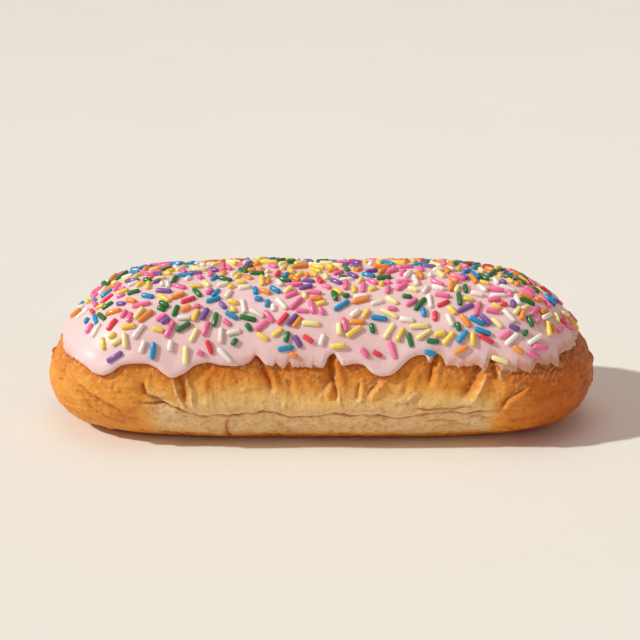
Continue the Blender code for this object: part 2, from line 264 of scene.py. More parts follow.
def half_outline(name, points):
    """The front half of a circle whose points are moved to the places given, as (out, up), lowest first."""
    deselect_all()
    last = len(points) - 1
    bpy.ops.mesh.primitive_circle_add(vertices=2 * last, radius=1, rotation=(0, math.pi / 2, 0))
    piece = bpy.context.active_object
    piece.name = name
    bpy.ops.object.transform_apply(location=True, rotation=True, scale=True)
    bpy.ops.object.mode_set(mode="EDIT")
    bpy.ops.mesh.select_all(action="SELECT")
    bpy.ops.mesh.bisect(plane_co=(0, 1e-4, 0), plane_no=(0, 1, 0), clear_outer=True)
    bpy.ops.object.mode_set(mode="OBJECT")
    for vertex in piece.data.vertices:
        angle = math.atan2(vertex.co.z, -min(vertex.co.y, 0.0))
        out, up = points[round((angle / math.pi + 0.5) * last)]
        vertex.co = (STRAIGHT, -out, up)
    return piece


# %% Spin, turn and bridge it into a closed skin
END_STEPS = 224           # 0.4 mm columns round each end
SIDE_CUTS = 267           # 0.38 mm columns along the sides


def select_open_side(piece, side):
    """In edit mode, selects the two open chains of edges on one side, ready to bridge."""
    bpy.ops.mesh.select_all(action="DESELECT")
    bpy.ops.object.mode_set(mode="OBJECT")
    near = 0.001 * MM
    on_it = [abs(abs(v.co.x) - STRAIGHT) < near and v.co.y * side > -near for v in piece.data.vertices]
    for edge in piece.data.edges:
        edge.select = all(on_it[index] for index in edge.vertices)
    bpy.ops.object.mode_set(mode="EDIT")


def round_and_long(piece):
    """Turns a half outline that stands at the right end into the whole closed skin."""
    bpy.context.view_layer.objects.active = piece
    bpy.ops.object.mode_set(mode="EDIT")
    bpy.ops.mesh.select_mode(type="EDGE")
    bpy.ops.mesh.select_all(action="SELECT")
    bpy.ops.mesh.spin(steps=END_STEPS, angle=math.pi, center=(STRAIGHT, 0, 0), axis=(0, 0, -1))
    bpy.ops.mesh.select_all(action="SELECT")
    bpy.ops.mesh.remove_doubles(threshold=0.01 * MM)
    bpy.ops.mesh.select_all(action="SELECT")
    bpy.ops.mesh.duplicate()
    bpy.ops.transform.rotate(value=math.pi, orient_axis="Z", center_override=(0, 0, 0))
    for side in (-1, 1):
        select_open_side(piece, side)
        bpy.ops.mesh.bridge_edge_loops(number_cuts=SIDE_CUTS, interpolation="LINEAR")
    bpy.ops.mesh.select_all(action="SELECT")
    bpy.ops.mesh.remove_doubles(threshold=0.01 * MM)
    bpy.ops.mesh.select_all(action="SELECT")
    bpy.ops.mesh.normals_make_consistent(inside=False)
    bpy.ops.object.mode_set(mode="OBJECT")


# %% Read and write a mesh's points
def read_points(piece):
    """The mesh's points as an array."""
    points = np.zeros(len(piece.data.vertices) * 3)
    piece.data.vertices.foreach_get("co", points)
    return points.reshape(-1, 3)


def write_points(piece, points):
    """Moves the mesh's points to the places in an array."""
    piece.data.vertices.foreach_set("co", points.ravel())
    piece.data.update()


def store(piece, name, values):
    """Keeps a number for each point, for the materials to read."""
    layer = piece.data.attributes.new(name, "FLOAT", "POINT")
    layer.data.foreach_set("value", np.clip(values, 0, 1).astype(np.float32))


def stations_and_rows(piece, outline):
    """Each point's station, and which point of the outline it was spun from."""
    points = read_points(piece)
    beyond = np.maximum(np.abs(points[:, 0]) - STRAIGHT, 0)
    out = np.hypot(beyond, points[:, 1])
    turn = np.arctan2(beyond, -points[:, 1])
    centre = np.minimum(np.abs(points[:, 0]), STRAIGHT)
    on_back = (points[:, 1] > 1e-7) & (beyond < 1e-7)
    along = np.where(on_back, HALF_ROUND - centre, centre + RADIUS * turn * (beyond > 1e-7))
    side = np.where(points[:, 0] < 0, -1.0, 1.0)
    table = np.array(outline)
    rows = np.empty(len(points), dtype=int)
    for start in range(0, len(points), 4000):
        part = slice(start, start + 4000)
        gap = np.hypot(out[part, None] - table[None, :, 0], points[part, 2, None] - table[None, :, 1])
        rows[part] = gap.argmin(axis=1)
    return side * along, rows


def triangle_count(piece):
    """The number of triangles that the mesh's faces make."""
    piece.data.calc_loop_triangles()
    return len(piece.data.loop_triangles)


# %% The dough's rows, and its plain skin
UNDERSIDE = (0.0, 0.5, 0.85)         # rows under the bun, as a share of the foot
FINE_ROWS = np.concatenate((np.arange(0, 14.4, 0.5), np.arange(14.4, 19.3, 0.27), np.arange(19.3, 36, 0.43)))
DOUGH_CLIMBS = np.concatenate((FINE_ROWS * MM, np.linspace(37.5 * MM, CROWN_CLIMB, 9)))


def outline_of(climbs, lifts):
    """The plain outline's points at some climbs, each lifted off it."""
    front = np.zeros(len(climbs))
    climbs = np.asarray(climbs)
    points = smooth_form(front, climbs) + outward(front, climbs) * np.asarray(lifts)[:, None]
    outs = np.where(climbs < CROWN_CLIMB - 1e-9, np.maximum(-points[:, 1], 0.0), 0.0)
    return list(zip(outs, points[:, 2]))


dough_outline = [(FOOT * RADIUS * share, 0.0) for share in UNDERSIDE]
dough_outline += outline_of(DOUGH_CLIMBS, np.zeros(len(DOUGH_CLIMBS)))
crust = half_outline("crust", dough_outline)
round_and_long(crust)
print("plain dough:", len(crust.data.vertices), "points,", triangle_count(crust), "triangles")

# %% [markdown]
# ## Lumps, crease and folds
#
# Dough rises unevenly. The big swellings and the crease, where the risen top hangs over the paler band that
# touched the next bun, are those of the solids. The folds, thin stretched strands, cracks, wrinkles and
# blisters are smaller and are only here. A sculptor would brush them in. A list of their lines does the same
# and can be read again: each is a line of points on the skin, with a depth and a width.

# %% Swellings and the crease, as on the solids
SWELLS = ((12, 41.0, 0.20), (74, 27.0, 0.16), (131, 33.0, 0.16), (48, 19.0, 0.12))
FULL_END = (-0.074, 0.0, 0.027)
FULL_END_REACH = 0.022
FULL_END_SWELL = 0.4 * MM
CREASE = ((-96.0, 18.7), (-52.0, 20.7), (-43.7, 21.4), (-39.0, 19.0), (-34.1, 17.0), (-22.9, 17.4),
          (-16.7, 18.1), (-13.1, 17.7), (-8.9, 16.1), (-0.5, 17.0), (3.7, 18.5), (7.9, 17.4), (16.3, 17.4),
          (21.1, 15.8), (28.9, 17.4), (35.9, 18.1), (39.6, 17.4), (47.1, 18.5), (52.0, 19.2), (96.0, 18.7))
CREASE_LIP = 0.40 * MM
CREASE_INSET = 0.35 * MM
BAND_HEIGHT = 9.0 * MM


def crease_climb(station):
    """The climb of the crease at a station."""
    at, climb = zip(*CREASE)
    return np.interp(front_station(station) / MM, at, climb) * MM


def on_side(station):
    """1 along the straight sides, fading to 0 at the ends, where there is no crease."""
    return 1 - ease((np.abs(front_station(station)) - 42 * MM) / (12 * MM))


def lumps(station, climb):
    """How far the dough stands in or out of the plain form: low swellings, and the crease on its sides."""
    point = smooth_form(station, climb)
    height = np.zeros(np.shape(station))
    for heading, wave, swell in SWELLS:
        way = math.radians(heading)
        travel = point[..., 0] * math.cos(way) + point[..., 1] * math.sin(way) + 0.6 * point[..., 2]
        height = height + swell * MM * np.sin(2 * math.pi * travel / (wave * MM))
    height = height * ease((climb - 2 * MM) / (9 * MM))
    height = height + FULL_END_SWELL * hump(np.linalg.norm(point - FULL_END, axis=-1) / FULL_END_REACH)
    above = climb - crease_climb(station)
    lip = CREASE_LIP * hump((above - 2.2 * MM) / (4.5 * MM))
    inset = CREASE_INSET * ease(-above / (0.5 * MM) + 0.5) * (1 - ease((-above - 2.5 * MM) / BAND_HEIGHT))
    return height + on_side(station) * (lip - inset)


# %% Folds: points from top to bottom as station and climb, depth, half width, and the bulge on their +X side
FOLDS = (
    (((-18.4, 37.2), (-16.6, 32.4), (-14.6, 27.2), (-13.3, 22.0)), 1.9, 1.3, 0.7),
    (((2.6, 38.2), (2.4, 31.7), (3.6, 26.0), (4.7, 20.6)), 2.3, 1.5, 0.5),
    (((32.0, 38.2), (30.7, 30.0), (29.4, 24.6)), 1.7, 1.1, 0.5),
    (((43.4, 34.2), (42.0, 27.2), (39.0, 21.0)), 1.9, 2.0, 0.5),
    (((47.0, 36.7), (47.6, 31.0), (49.0, 27.0)), 1.8, 1.2, 0.4),
    (((-39.9, 31.2), (-38.7, 25.4), (-37.0, 19.9)), 1.7, 1.4, 0.0),
    (((-50.3, 27.9), (-49.2, 23.7), (-45.1, 21.8), (-41.5, 20.6)), 1.3, 1.1, 0.4),
    (((16.6, 28.4), (13.8, 25.4), (11.7, 22.8)), 1.0, 1.2, 0.9),
    (((2.4, 27.4), (1.2, 25.4), (-0.2, 23.2)), 0.9, 1.0, 0.9),
    (((10.6, 27.0), (9.9, 23.6), (9.2, 20.9)), 0.9, 0.8, 0.5),
    (((57.4, 26.0), (53.4, 23.4), (51.1, 21.4), (48.2, 17.6)), 1.1, 1.0, 0.6),
    (((-31.5, 28.2), (-29.8, 23.2), (-29.0, 19.4)), 0.35, 1.6, 0.2),
    (((-9.5, 28.7), (-8.4, 24.2), (-7.4, 20.6)), 0.4, 1.4, 0.2),
    (((24.0, 30.2), (23.6, 25.7), (22.0, 22.0)), 0.4, 1.4, 0.2),
    (((-70.7, 25.9), (-64.8, 21.9), (-57.5, 18.2), (-52.2, 16.6)), 0.9, 1.0, 0.4),
    (((-69.2, 20.9), (-65.0, 16.9), (-60.1, 13.8), (-53.9, 11.2)), 0.8, 1.1, 0.4),
    (((-70.6, 23.7), (-66.6, 20.6), (-63.4, 18.0)), 0.6, 0.8, 0.3),
    (((-57.6, 17.6), (-54.4, 15.2), (-50.4, 14.6)), 0.6, 0.8, 0.3),
    (((-77.4, 29.4), (-76.0, 26.2)), 1.1, 0.9, 0.3),
    (((-80.5, 25.0), (-75.6, 25.7)), 0.6, 0.8, 0.2),
    (((-84.0, 19.4), (-77.0, 14.9), (-70.0, 11.9)), 0.5, 1.1, 0.2),
    (((62.5, 14.2), (70.0, 13.2), (77.0, 15.2)), 0.35, 1.0, 0.2),
    (((52.0, 15.4), (57.0, 14.4), (62.0, 15.6)), 0.35, 0.8, 0.1),
)

# Thin cracks without a bulge.
CRACKS = (
    (((-26.5, 16.2), (-26.9, 10.7), (-26.3, 1.7)), 0.9, 0.6),
    (((40.6, 14.7), (43.5, 15.4), (48.6, 14.4)), 0.7, 0.6),
    (((28.4, 13.6), (33.0, 14.0), (36.0, 12.9), (39.4, 12.2)), 0.7, 0.5),
    (((33.0, 10.6), (38.0, 11.4), (44.0, 10.4)), 0.5, 0.5),
    (((-47.0, 6.4), (-41.0, 5.4), (-36.0, 6.0)), 0.5, 0.7),
    (((-12.5, 6.7), (-11.8, 2.2)), 0.6, 0.6),
    (((4.0, 7.7), (9.0, 6.8)), 0.35, 0.7),
    (((51.5, 9.7), (56.0, 8.4)), 0.35, 0.6),
    (((24.0, 19.2), (33.0, 19.0), (40.0, 19.6), (44.0, 19.2)), 0.6, 0.5),
)

# Stretched strands and torn flaps: points, height and half width.
STRANDS = (
    (((-41.5, 29.6), (-40.5, 25.2), (-38.8, 20.6), (-36.4, 18.4)), 0.75, 0.50),
    (((-38.0, 30.2), (-36.6, 25.4), (-35.2, 18.2)), 0.75, 0.50),
    (((3.0, 30.2), (4.0, 27.0), (5.6, 20.0)), 0.6, 0.50),
    (((-0.6, 22.9), (2.6, 27.2)), 0.45, 0.60),
    (((11.5, 22.9), (14.0, 26.2), (16.8, 28.4)), 0.5, 0.60),
    (((19.6, 21.3), (24.4, 21.7), (27.5, 24.6)), 0.6, 0.55),
    (((41.4, 20.8), (44.0, 24.8), (45.4, 30.0)), 0.75, 0.50),
    (((49.0, 31.2), (49.6, 27.6)), 0.6, 0.60),
    (((51.9, 21.8), (54.0, 24.1), (57.4, 26.4)), 0.5, 0.50),
    (((-48.8, 22.6), (-44.2, 21.6), (-40.0, 20.0)), 0.5, 0.50),
)

# Single blisters and dimples: station, climb, half width and height.
PIMPLES = ((68.6, 29.4, 1.3, 0.6), (-44.8, 17.3, 0.9, 0.5), (-64.0, 21.4, 1.0, 0.45),
           (-57.2, 25.0, 1.2, 0.4), (-47.8, 29.3, 0.9, 0.4), (-70.4, 31.9, 0.9, 0.4),
           (94.5, 28.0, 2.6, 0.7), (93.0, 14.5, 2.4, 0.7), (59.2, 19.7, 1.1, -0.5),
           (83.0, 24.0, 1.6, 0.4), (78.0, 30.5, 1.2, 0.4), (72.0, 21.0, 1.3, -0.3))


# %% Measuring from a line drawn on the skin
def off_line(station, climb, points):
    """Each place's distance from a line of points, how far along it that is, from 0 to 1, and the same
    distance signed, positive on the line's +X side."""
    ends = np.array(points) * MM
    lengths = np.linalg.norm(np.diff(ends, axis=0), axis=1)
    nearest = np.full(np.shape(station), np.inf)
    along = np.zeros(np.shape(station))
    side = np.zeros(np.shape(station))
    passed = 0.0
    for start, end, length in zip(ends[:-1], ends[1:], lengths):
        way = (end - start) / length
        reach = np.clip((station - start[0]) * way[0] + (climb - start[1]) * way[1], 0, length)
        distance = np.hypot(station - start[0] - reach * way[0], climb - start[1] - reach * way[1])
        across = (climb - start[1]) * way[0] - (station - start[0]) * way[1]
        along = np.where(distance < nearest, (passed + reach) / lengths.sum(), along)
        side = np.where(distance < nearest, np.sign(across), side)
        nearest = np.minimum(distance, nearest)
        passed += length
    return nearest, along, nearest * side


def tapered(along):
    """A fold's strength: it starts at once at its top and runs out slowly towards its lower end."""
    return ease(along / 0.12) * ease((1 - along) / 0.35)


def thinned(along):
    """A crack's or a strand's strength: it runs out at both ends."""
    return ease(along / 0.2) * ease((1 - along) / 0.2)


# %% Cut the folds and raise the strands
def drawn_relief(station, climb):
    """Height of the drawn lines, painted shade in grooves, painted shade and deeper brown on hollows, pale
    strands.
    """
    place = front_station(station)
    height = np.zeros(np.shape(station))
    groove_shade = np.zeros(np.shape(station))
    hollow_brown_and_shade = np.zeros(np.shape(station))
    stretched_and_lip_highlight = np.zeros(np.shape(station))
    for points, depth, width, bulge in FOLDS:
        distance, along, across = off_line(place, climb, points)
        strength = tapered(along)
        groove = strength * np.exp(-(distance / (0.55 * width * MM)) ** 1.5)
        slope = strength * np.where(across < 0, np.exp(-distance / (1.5 * width * MM)), groove)
        height = height - depth * MM * (0.5 * groove + 0.5 * slope)
        height = height + bulge * MM * strength * hump((across - 1.4 * width * MM) / (1.4 * width * MM))
        # Painted shade: the groove's strength also darkens its colour, as the shade inside it.
        groove_shade = np.maximum(groove_shade, groove * min(1.0, depth / 1.3))
        # The fold's slope on its -X side gets painted shade, mixed with a deeper brown of the crust's own.
        hollow_brown_and_shade = np.maximum(hollow_brown_and_shade, slope * min(1.0, depth / 1.6))
    for points, depth, width in CRACKS:
        distance, along, _ = off_line(place, climb, points)
        groove = thinned(along) * np.exp(-(distance / (0.6 * width * MM)) ** 1.5)
        height = height - depth * MM * groove
        # Painted shade in the crack's groove.
        groove_shade = np.maximum(groove_shade, 0.9 * groove)
    for points, rise, width in STRANDS:
        distance, along, _ = off_line(place, climb, points)
        crest = thinned(along) * hump(distance / (width * MM))
        height = height + rise * MM * crest
        stretched_and_lip_highlight = np.maximum(stretched_and_lip_highlight, crest)
    return height, groove_shade, hollow_brown_and_shade, stretched_and_lip_highlight


# %% [markdown]
# Blisters, grains and pits are too many to draw. They are strewn by chance from a fixed seed, each kind in
# the zone where it belongs: pits on the pale band, blisters on the browned dough, and fine grains where
# sugar ran out from under the icing. A tree of the mesh's points finds the few that each spot moves.

# %% Strew spots over the skin
def strew(rng, count, wanted, sizes, heights):
    """Spots as station, climb, half width and height, kept with the chance that wanted() gives."""
    spots = []
    while len(spots) < count:
        station = rng.uniform(-HALF_ROUND, HALF_ROUND)
        climb = rng.uniform(1.5, 40) * MM
        if rng.random() < wanted(station, climb):
            spots.append((station, climb, rng.uniform(*sizes) * MM, rng.uniform(*heights) * MM))
    return spots


def on_band(station, climb):
    """1 on the pale band under the crease."""
    return float(on_side(station) * (climb < crease_climb(station) - 1.5 * MM))


def on_brown(station, climb):
    """1 on the browned dough, and seldom low on the sides."""
    browned = 1 - 0.8 * on_side(station) * (climb < 24 * MM)
    return float(browned * (climb < icing_edge(station) + 1 * MM))


def below_icing(station, climb):
    """Most just below the icing, where its edge is ragged."""
    down = icing_edge(station) - climb
    return float(hump(down / (7 * MM)) * (down > -1 * MM) * (0.25 + 0.75 * raggedness(station)))


def spot_relief(points, spots):
    """The height that the spots give each point, and how strongly each point is on one."""
    tree = kdtree.KDTree(len(points))
    for index, point in enumerate(points):
        tree.insert(point, index)
    tree.balance()
    height = np.zeros(len(points))
    strength = np.zeros(len(points))
    for station, climb, width, rise in spots:
        middle = smooth_form(np.array([station]), np.array([climb]))[0]
        for _, index, distance in tree.find_range(middle, width):
            share = (1 - (distance / width) ** 2) ** 2
            height[index] += rise * share
            strength[index] = max(strength[index], share)
    return height, strength


# %% [markdown]
# ## Shape the crust
#
# Now every point of the plain skin is moved to its place on the lumpy form. Rows near the crease first slide
# along the skin so that they follow it, which keeps its lip crisp. Then the lip slides down over the band,
# as the risen dough really overhangs it. What is browned, cut, stretched or pitted is stored with the
# points for the colours to read. Most of it is the crust's own colour: its browning, the pale stretched
# strands and the pits. The rest is painted light: painted shade in the grooves and under the icing's lip,
# painted shade with a deeper brown on the folds' hollow sides, and a painted highlight on the crease's lip.

# %% Place every point of the crust
stations, rows = stations_and_rows(crust, dough_outline)
shares = np.concatenate((UNDERSIDE, np.ones(len(DOUGH_CLIMBS))))[rows]
climbs = np.concatenate((np.zeros(len(UNDERSIDE)), DOUGH_CLIMBS))[rows]
plain = smooth_form(stations, climbs)

CREASE_LEVEL = 17.5 * MM
CREASE_WANDER = 0.75 * MM
FOLD_WANDER = 0.5 * MM
jagged = CREASE_WANDER * cloudy(plain, 3.4 * MM, 3, seed=1)
follow = crease_climb(stations) - CREASE_LEVEL + jagged * on_side(stations)
climbs = climbs + follow * hump((climbs - CREASE_LEVEL) / (10 * MM))
plain = smooth_form(stations, climbs)

wander_round = FOLD_WANDER * cloudy(plain, 3.2 * MM, 3, seed=2)
wander_up = FOLD_WANDER * cloudy(plain, 3.2 * MM, 3, seed=3)
drawn, groove_shade, hollow_brown_and_shade, stretched_and_lip_highlight = drawn_relief(stations + wander_round, climbs + wander_up)

side_share = on_side(stations)
above = climbs - crease_climb(stations) - jagged * side_share
bare = 1 - ease((climbs - icing_edge(stations) - 3 * MM) / (4 * MM))
risen = ease((climbs - 3 * MM) / (5 * MM))
pale_side = side_share * ease(above / (2 * MM)) * bare
flutes = cloudy(plain * (1, 1, 0.25), 4.5 * MM, 3, seed=4)
wrinkles = cloudy(plain * (0.35, 0.35, 1.6), 3.0 * MM, 3, seed=5)
dents = cloudy(plain, 9 * MM, 4, seed=6)
grain = cloudy(plain, 1.5 * MM, 3, seed=7)
print("crust placed, folds cut deepest", round(-drawn.min() / MM, 2), "mm")

# %% Strew the pits, blisters and grains
PITS = 300
BLISTERS = 240
GRAINS = 900
rng = random.Random(5)
pits = strew(rng, PITS, on_band, (0.5, 1.2), (-0.55, -0.2))
blisters = strew(rng, BLISTERS, on_brown, (0.6, 1.8), (0.12, 0.42))
grains = strew(rng, GRAINS, below_icing, (0.38, 0.65), (0.15, 0.42))
drawn_spots = [(side, climb * MM, width * MM, rise * MM) for at, climb, width, rise in PIMPLES
               for side in (at * MM, at * MM + math.copysign(HALF_ROUND, -at))]
pit_height, pitted = spot_relief(plain, pits)
blister_height, _ = spot_relief(plain, blisters + drawn_spots)
grain_height, sugared = spot_relief(plain, grains)
print("spots strewn:", len(pits), "pits,", len(blisters), "blisters,", len(grains), "grains")

# %% Add up the relief
DENT = 0.20 * MM
GRAIN = 0.05 * MM
FLUTE = 0.17 * MM
WRINKLE = 0.28 * MM
BAND_RELIEF = 0.16 * MM
FOOT_RELIEF = 0.35 * MM
GROOVE_DEPTH = 1.25 * MM  # of the crease, where it is wide open
OVERHANG = 0.22 * MM      # how far its lip slides down over it

relief = drawn * bare + bare * risen * (DENT * dents + GRAIN * grain)
relief += pale_side * FLUTE * flutes + (1 - side_share) * bare * risen * WRINKLE * wrinkles
relief += bare * (pit_height + blister_height + grain_height)
opened = 0.55 + 0.45 * np.clip(2 * cloudy(plain, 7 * MM, 2, seed=9) + 0.6, -0.6, 1)
groove = side_share * hump((above + 0.4 * MM) / (1.0 * MM)) * opened
relief -= GROOVE_DEPTH * groove
relief += side_share * ease(-above / (1.5 * MM)) * BAND_RELIEF * cloudy(plain, 3.5 * MM, 3, seed=10)
# Painted highlight: the crease's lip, just above its groove, is painted paler where it catches the light.
lip_highlight = side_share * hump((above - 0.55 * MM) / (0.8 * MM)) * opened
foot_edge = hump((climbs - 0.5 * MM) / (3 * MM)) * (shares > 0.99)
relief += foot_edge * FOOT_RELIEF * cloudy(plain, 3 * MM, 3, seed=8)
print("relief from", round(relief.min() / MM, 2), "to", round(relief.max() / MM, 2), "mm")

# %% Move the points
overhang = side_share * OVERHANG * hump((above - 0.5 * MM) / (1.2 * MM)) * (1 + 0.6 * flutes)
lowered = climbs - overhang
lift = lumps(stations, climbs) + relief
moved = smooth_form(stations, lowered) + outward(stations, lowered) * (lift * (shares > 0.99))[:, None]
axis = np.stack((np.clip(moved[:, 0], -STRAIGHT, STRAIGHT), 0 * stations, 0 * stations), axis=1)
moved = np.where((shares < 0.99)[:, None], axis + (moved - axis) * shares[:, None], moved)
moved[:, 2] = np.maximum(moved[:, 2], 0.0)
write_points(crust, moved)
print("crust height", round(moved[:, 2].max() / MM, 1), "mm")

# %% What the crust's colours will read
TOP_BAKE = 0.55           # how far the risen top is baked
END_BAKE = 0.50           # the two ends
RIGHT_BAKE = 0.26         # how much further the front's right end is baked than its left
RIM_BAKE = 0.54           # the rim of the foot
browned = ease((climbs - 18.5 * MM + 2.5 * MM * dents) / (11 * MM))
ends = 1 - ease((side_share + 0.25 * dents) / 0.9)
bake_and_lip_shade = np.maximum(browned * TOP_BAKE, ends * (END_BAKE + 0.10 * dents))
bake_and_lip_shade += RIGHT_BAKE * ease((front_station(stations) / MM - 42) / 30) * (1 - side_share)
# Painted shade: the crust just under the icing's lip is pushed further along the browning ramp, as the lip's
# shadow.
below = icing_edge(stations) - climbs
bake_and_lip_shade += 0.06 * hump(below / (6 * MM)) + 0.16 * hump(below / (1.2 * MM))
bottom_rim = 1 - ease((climbs - 5.4 * MM - 1.8 * MM * dents) / (4.4 * MM))
bake_and_lip_shade = np.maximum(bake_and_lip_shade, bottom_rim * RIM_BAKE)
# Browning of the crust's own, with the painted shade under the icing's lip in it.
store(crust, "bake_and_lip_shade", bake_and_lip_shade)
# Painted shade in the grooves of the folds, cracks and crease.
store(crust, "groove_shade", np.maximum(groove_shade, groove) * bare)
# Painted shade on the folds' shaded sides, mixed with a deeper brown of the crust's own.
store(crust, "hollow_brown_and_shade", hollow_brown_and_shade * bare)
# Pale stretched strands of the crust's own, and a painted highlight on the crease's lip.
store(crust, "stretched_and_lip_highlight", np.maximum(0.75 * stretched_and_lip_highlight, 0.6 * lip_highlight) * bare)
store(crust, "pitted", pitted)
store(crust, "sugared", sugared * bare)
store(crust, "band", side_share * ease(-above / (1.0 * MM)) * (1 - bottom_rim) * (1 - ends))
print("the crust is baked", round(bake_and_lip_shade.mean(), 2), "on average, where 0 is pale and 1 is dark")

# %% Shade it smooth and fit it to the frame
def finish_piece(piece, body):
    """Smooth shading, and the body that the piece rides on."""
    deselect_all()
    piece.select_set(True)
    bpy.context.view_layer.objects.active = piece
    bpy.ops.object.shade_smooth()
    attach(piece, body)
    print(piece.name, "has", triangle_count(piece), "triangles")


finish_piece(crust, "root")
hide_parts("bun")

# %% [markdown]
# ## The icing
#
# Fondant icing sets as a skin a little over a millimetre thick, with a rounded lip. Thickening a copy of the
# dough would give an even edge; here the lip differs, fat on the smooth drips and thin where it is ragged.
# So it is spun like the dough, from an outline that runs up the inside, round the lip and over the top, and
# its rows are then laid at chosen distances from the edge.

# %% The icing's thickness
SKIN = 1.30 * MM
BEAD = 0.38 * MM          # how much fatter the lip is where it is smooth
SUNK = -0.7 * MM          # the hidden inner side lies inside the dough
EDGE_LEVEL = 32.0 * MM    # where the plain icing ends before its edge is shaped
NEAR_EDGE = 9 * MM        # further in than this, the edge no longer shapes it
BEYOND_EDGE = 26.5 * MM   # and from there the plain icing's rows reach this much further up
LIP_OUTLINE = ((35.5, None), (20.0, None), (8.0, None), (2.4, None), (0.75, -0.30), (0.38, -0.02),
               (0.12, 0.16), (0.0, 0.40), (0.08, 0.62), (0.27, 0.80), (0.55, 0.93), (0.9, 0.99))
SKIN_ROWS = np.concatenate((np.arange(1.3, 10, 0.45), np.linspace(10.4, 35.5, 26)))


def from_edge(station, climb):
    """Each place's shortest distance from the icing's edge, measured over the skin."""
    shortest = np.abs(climb - icing_edge(station))
    for aside in np.arange(-4.0, 4.01, 0.5) * MM:
        shortest = np.minimum(shortest, np.hypot(aside, climb - icing_edge(station + aside)))
    return shortest


def icing_height(station, climb, inside):
    """How far the icing's upper side stands over the plain form, a distance in from its edge."""
    ragged = raggedness(station)
    thin = 1 - 0.62 * ragged * (1 - ease(inside / (6 * MM)))
    bead = BEAD * (1 - ragged) * hump((inside - 1.5 * MM) / (3.4 * MM))
    return lumps(station, climb) + SKIN * thin + bead


# %% Spin the plain icing
icing_outline = outline_of(
    [EDGE_LEVEL + inside * MM for inside, _ in LIP_OUTLINE] + list(EDGE_LEVEL + SKIN_ROWS * MM),
    [SUNK if share is None else SKIN * share for _, share in LIP_OUTLINE] + [SKIN] * len(SKIN_ROWS))
icing_outline[0] = (0.0, HEIGHT + SUNK)
icing_outline[-1] = (0.0, HEIGHT + SKIN)
icing_coat = half_outline("icing_coat", icing_outline)
round_and_long(icing_coat)
print("plain icing:", triangle_count(icing_coat), "triangles")

# %% Lay its rows along the edge
stations, rows = stations_and_rows(icing_coat, icing_outline)
row_insides = [inside for inside, _ in LIP_OUTLINE] + list(SKIN_ROWS)
row_shares = [np.nan if share is None else share for _, share in LIP_OUTLINE] + [1.0] * len(SKIN_ROWS)
inside = np.array(row_insides)[rows] * MM
share = np.array(row_shares)[rows]
hidden = np.isnan(share)
share = np.where(hidden, 0, share)
ragged = raggedness(stations)
small = inside < 1.2 * MM
inside = np.where(small, inside * (1 - 0.45 * ragged), inside)

edge = torn_edge(stations)
stretched_up = NEAR_EDGE + (inside - NEAR_EDGE) * (CROWN_CLIMB - edge - NEAR_EDGE) / BEYOND_EDGE
up = np.where(inside > NEAR_EDGE, stretched_up, inside)
slope = (icing_edge(stations + 0.5 * MM) - icing_edge(stations - 0.5 * MM)) / (1.0 * MM)
lean = np.minimum(inside, 1.0 * MM) * (1 - ease((inside - 1.0 * MM) / (3 * MM)))
stations = stations - lean * slope / np.sqrt(1 + slope ** 2)
climbs = np.minimum(edge + up - lean * (1 - 1 / np.sqrt(1 + slope ** 2)), CROWN_CLIMB)
print("the icing's edge wanders from", round(edge.min() / MM, 1), "to", round(edge.max() / MM, 1), "mm up")

# %% Lift them to the icing's surface
plain = smooth_form(stations, climbs)
true_inside = np.where(small, inside, from_edge(stations, climbs))
top = icing_height(stations, climbs, true_inside)
soft_waves = 0.22 * MM * cloudy(plain, 16 * MM, 2, seed=11)
rough = 0.20 * MM * cloudy(plain, 3 * MM, 3, seed=12) * ragged * hump(inside / (9 * MM))
base = lumps(stations, climbs)
lift = base + (top + soft_waves * ease(inside / (4 * MM)) + rough - base) * share
lift = np.where(hidden, base + SUNK, lift)
write_points(icing_coat, plain + outward(stations, climbs) * lift[:, None])
store(icing_coat, "thin", ragged * (1 - ease(inside / (5 * MM))))
finish_piece(icing_coat, "root")
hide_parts("icing")

# %% [markdown]
# ## The sprinkles
#
# A sprinkle is a short rod of pressed sugar with rounded ends. One is modelled from a cylinder with its rims
# bevelled. Its copies are laid by chance: each new one is tried at a random place and turn, and is kept only
# if it touches no other. A physics simulation would settle them too, but takes long and is hard to steer.
# Where they lie thickest, some rest across a neighbour. Each colour is one joined mesh.

# %% One sprinkle
ROD_RADIUS = 0.77 * MM
ROD_DEPTH = 2.6 * MM
ROD_BEVEL = 0.55 * MM
CAP = 0.4 * MM            # its tips lie this far beyond the ends of the line that it is laid along


def model_rod():
    """A short upright cylinder with 10 sides and rounded ends."""
    deselect_all()
    bpy.ops.mesh.primitive_cylinder_add(vertices=10, radius=ROD_RADIUS, depth=ROD_DEPTH, location=(0, 0, 0))
    rod = bpy.context.active_object
    bpy.ops.object.mode_set(mode="EDIT")
    bpy.ops.mesh.select_mode(type="FACE")
    bpy.ops.mesh.select_all(action="DESELECT")
    bpy.ops.object.mode_set(mode="OBJECT")
    for face in rod.data.polygons:
        face.select = abs(face.normal.z) > 0.9
    bpy.ops.object.mode_set(mode="EDIT")
    bpy.ops.mesh.bevel(offset=ROD_BEVEL, segments=2, affect="EDGES")
    bpy.ops.object.mode_set(mode="OBJECT")
    return rod


rod = model_rod()
rod_points = read_points(rod)
rod_faces = [tuple(face.vertices) for face in rod.data.polygons]
print("one sprinkle:", len(rod_faces), "faces,", triangle_count(rod), "triangles")

